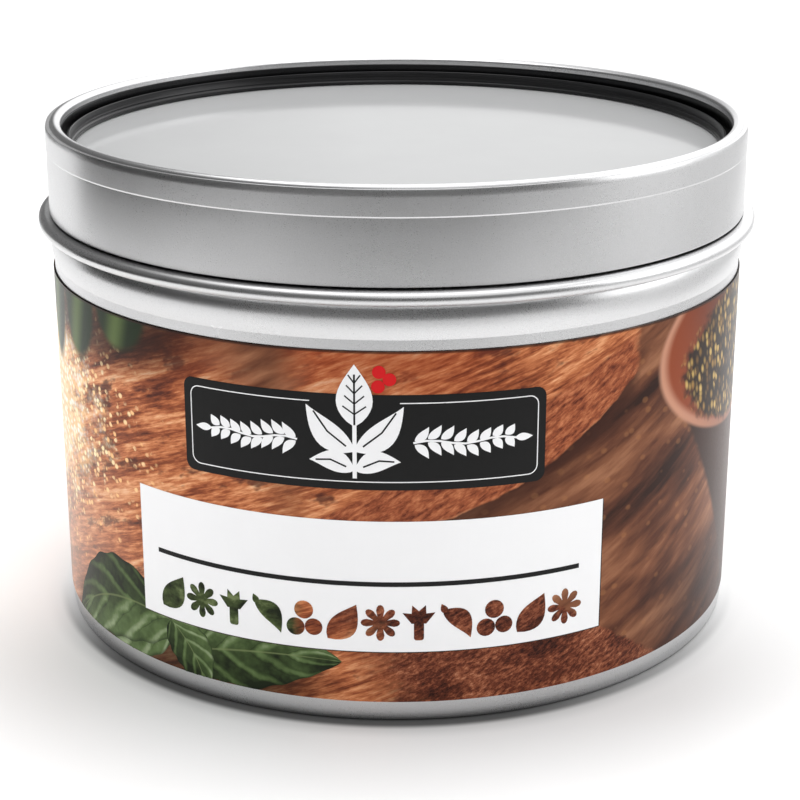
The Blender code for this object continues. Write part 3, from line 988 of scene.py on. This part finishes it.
def pale_floor():
    """Pale floor with painted shade: greyer to the right and ahead of the tin, a soft painted shadow in
    front of it and a dark painted contact shadow where the foot stands.
    """
    bpy.ops.object.select_all(action="DESELECT")
    bpy.ops.mesh.primitive_plane_add(size=8.0, location=(0, 0, 0))
    floor = bpy.context.object
    floor.name = "studio_floor"
    finish = Finish("pale_floor", Roughness=0.45, Specular_IOR_Level=0.15)
    x, y, _ = finish.split(finish.place())
    # painted shade: the floor is greyer ahead of the tin, further ahead still and off to the right
    ahead = 1.0 - finish.step(y, -0.165, -0.095)
    aside = finish.step(abs(x) - y.most(0.0) * 0.22, 0.09, 0.16)
    far_side = finish.mix(finish.step(x, -0.05, 0.05), LEFT_FLOOR, RIGHT_FLOOR)
    tone = finish.mix(aside, PALE_FLOOR, far_side)
    tone = finish.mix(ahead, tone, FRONT_FLOOR)
    tone = finish.mix(1.0 - finish.step(y, -0.28, -0.22), tone, FAR_FRONT_FLOOR)
    reach = (x * x + y * y).root()
    # painted shadow: a soft grey halo on the floor in front of the tin
    halo_shadow = (1.0 - finish.step(reach, 44.0 * MM, 78.0 * MM)) * finish.step(y * -1.0, 0.0, 0.04)
    tone = finish.mix(halo_shadow * 0.4, tone, HALO_SHADOW_TONE)
    # painted contact shadow: a dark ring on the floor round the foot, strongest in front and weaker at the
    # right
    crisp = (1.0 - finish.step(reach, 42.6 * MM, 43.8 * MM)) * 0.75
    soft = (1.0 - finish.step(reach, 43.0 * MM, 46.0 * MM)) * 0.25
    near = crisp + soft
    near = near * (1.0 - finish.step(x, 0.01, 0.04) * 0.45) * finish.step(y * -1.0, 0.0, 0.03)
    finish.done(Base_Color=finish.mix(near * 0.9, tone, CONTACT_SHADOW_TONE))
    floor.data.materials.append(finish.material)


def dark_flags():
    """Upright cards round the tin that only its reflections show."""
    for name, place, turned, size, shade in FLAGS:
        bpy.ops.mesh.primitive_plane_add(size=1.0, location=place)
        flag = bpy.context.object
        flag.name = name
        flag.scale = (size[0], size[1], 1.0)
        flag.rotation_euler = (math.radians(90.0), 0.0, math.radians(turned))
        bpy.ops.object.transform_apply(location=True, rotation=True, scale=True)
        flag.visible_camera = False
        flag.visible_diffuse = False
        flag.visible_shadow = False
        finish = Finish(name, Base_Color=(shade, shade, shade), Roughness=0.9, Specular_IOR_Level=0.0)
        flag.data.materials.append(finish.material)


def studio_world():
    """White surroundings, brighter behind and above, darker low in front and at the left."""
    world = bpy.data.worlds.new("studio_world")
    bpy.context.scene.world = world
    world.use_nodes = True
    sky = world.node_tree.nodes["Background"]
    ahead = Wire(world.node_tree, world.node_tree.nodes.new("ShaderNodeTexCoord").outputs["Generated"])
    parts = world.node_tree.nodes.new("ShaderNodeSeparateXYZ")
    world.node_tree.links.new(ahead.socket, parts.inputs[0])
    x, y, z = [Wire(world.node_tree, socket) for socket in parts.outputs]
    front = ((x * -0.45 + y * -0.83 + 0.45) * 1.6).most(0.0).least(1.0)
    left = ((x * -1.0 - 0.02) * 5.0).most(0.0).least(1.0)
    lowest = ((z + 0.12) * 7.0).most(0.0).least(1.0)
    front = front * lowest * ((0.6 - z) * 7.0).most(0.0).least(1.0)
    left = left * lowest * ((0.86 - z) * 6.0).most(0.0).least(1.0)
    behind = (y * 1.8).most(0.0).least(1.0) * (z * 8.0).most(0.0).least(1.0)
    behind = behind * (x * 2.2 + 0.5).most(0.0).least(1.0)
    above = ((z - 0.8) * 6.0).most(0.0).least(1.0)
    strength = (1.15 + behind.most(above) * 0.6) * (1.0 - (front * 0.87).most(left * 0.85))
    sky.inputs["Color"].default_value = (1.0, 1.0, 1.0, 1.0)
    world.node_tree.links.new(strength.socket, sky.inputs["Strength"])


def softboxes():
    for name, place, size, power, reflected in SOFTBOXES:
        light = bpy.data.lights.new(name, "AREA")
        light.shape = "RECTANGLE"
        light.size, light.size_y = size
        light.energy = power
        lamp = bpy.data.objects.new(name, light)
        lamp.location = place
        lamp.visible_glossy = reflected
        aim = Vector((0.0, 0.0, 0.03)) - Vector(place)
        lamp.rotation_euler = aim.to_track_quat("-Z", "Y").to_euler()
        bpy.context.collection.objects.link(lamp)


def main_camera():
    camera_data = bpy.data.cameras.new("camera")
    camera_data.sensor_width = CAMERA_SENSOR
    camera_data.lens = CAMERA_LENS
    camera = bpy.data.objects.new("camera", camera_data)
    camera.location = CAMERA_PLACE
    camera.rotation_euler = (math.radians(90.0 - CAMERA_DIP), 0.0, 0.0)
    bpy.context.collection.objects.link(camera)
    bpy.context.scene.camera = camera
    bpy.context.scene.view_settings.view_transform = "Standard"


# ---------------------------------------------------------------- assembly

def build():
    pale_floor()
    dark_flags()
    studio_world()
    softboxes()
    main_camera()
    tinplate = satin_tinplate("satin_tinplate")
    wall_plate = satin_tinplate("satin_wall_plate", seam=True)
    lid_plate = satin_tinplate("satin_lid_plate", painted_rim_shade=True)
    ring_shade_finish = ring_painted_shade("retainer_painted_shade")
    compound = seal_compound("seal_compound")
    finish_piece(tin_wall(), "tin_wall", wall_plate, "tin", ["body_wall"])
    finish_piece(tin_base(), "tin_base", tinplate, "tin", ["base_end"])
    finish_piece(lid_metal(), "lid_metal", lid_plate, "lid", ["lid_shell"])
    finish_piece(retainer_ring(), "retainer_ring", ring_shade_finish, "lid", ["window_retainer"])
    pane = milky_painted_pane("milky_painted_pane")
    finish_piece(window_pane(), "window_pane", pane, "lid", ["lid_window"])
    pad = turn(box_outline(
        WINDOW_SEAL_HIGH.x - WINDOW_SEAL_WIDTH, WINDOW_SEAL_HIGH.x, WINDOW_SEAL_LOW.z, WINDOW_SEAL_HIGH.z))
    finish_piece(pad, "window_pad", compound, "lid", ["window_seal"])
    ring = turn(box_outline(BASE_SEAL_INNER_RADIUS, BASE_SEAL_HIGH.x, BASE_SEAL_LOW.z, BASE_SEAL_HIGH.z))
    finish_piece(ring, "base_seam_seal", compound, "tin", ["base_seal"])
    wrap = turn(box_outline(WRAP_RADIUS - WRAP_THICKNESS, WRAP_RADIUS, WRAP_LOW.z, WRAP_HIGH.z, 0.02 * MM))
    picture = picture_film("printed_picture")
    finish_piece(wrap, "picture_wrap", picture, "tin", ["wrap_label"])
    wrap_prints()


build()
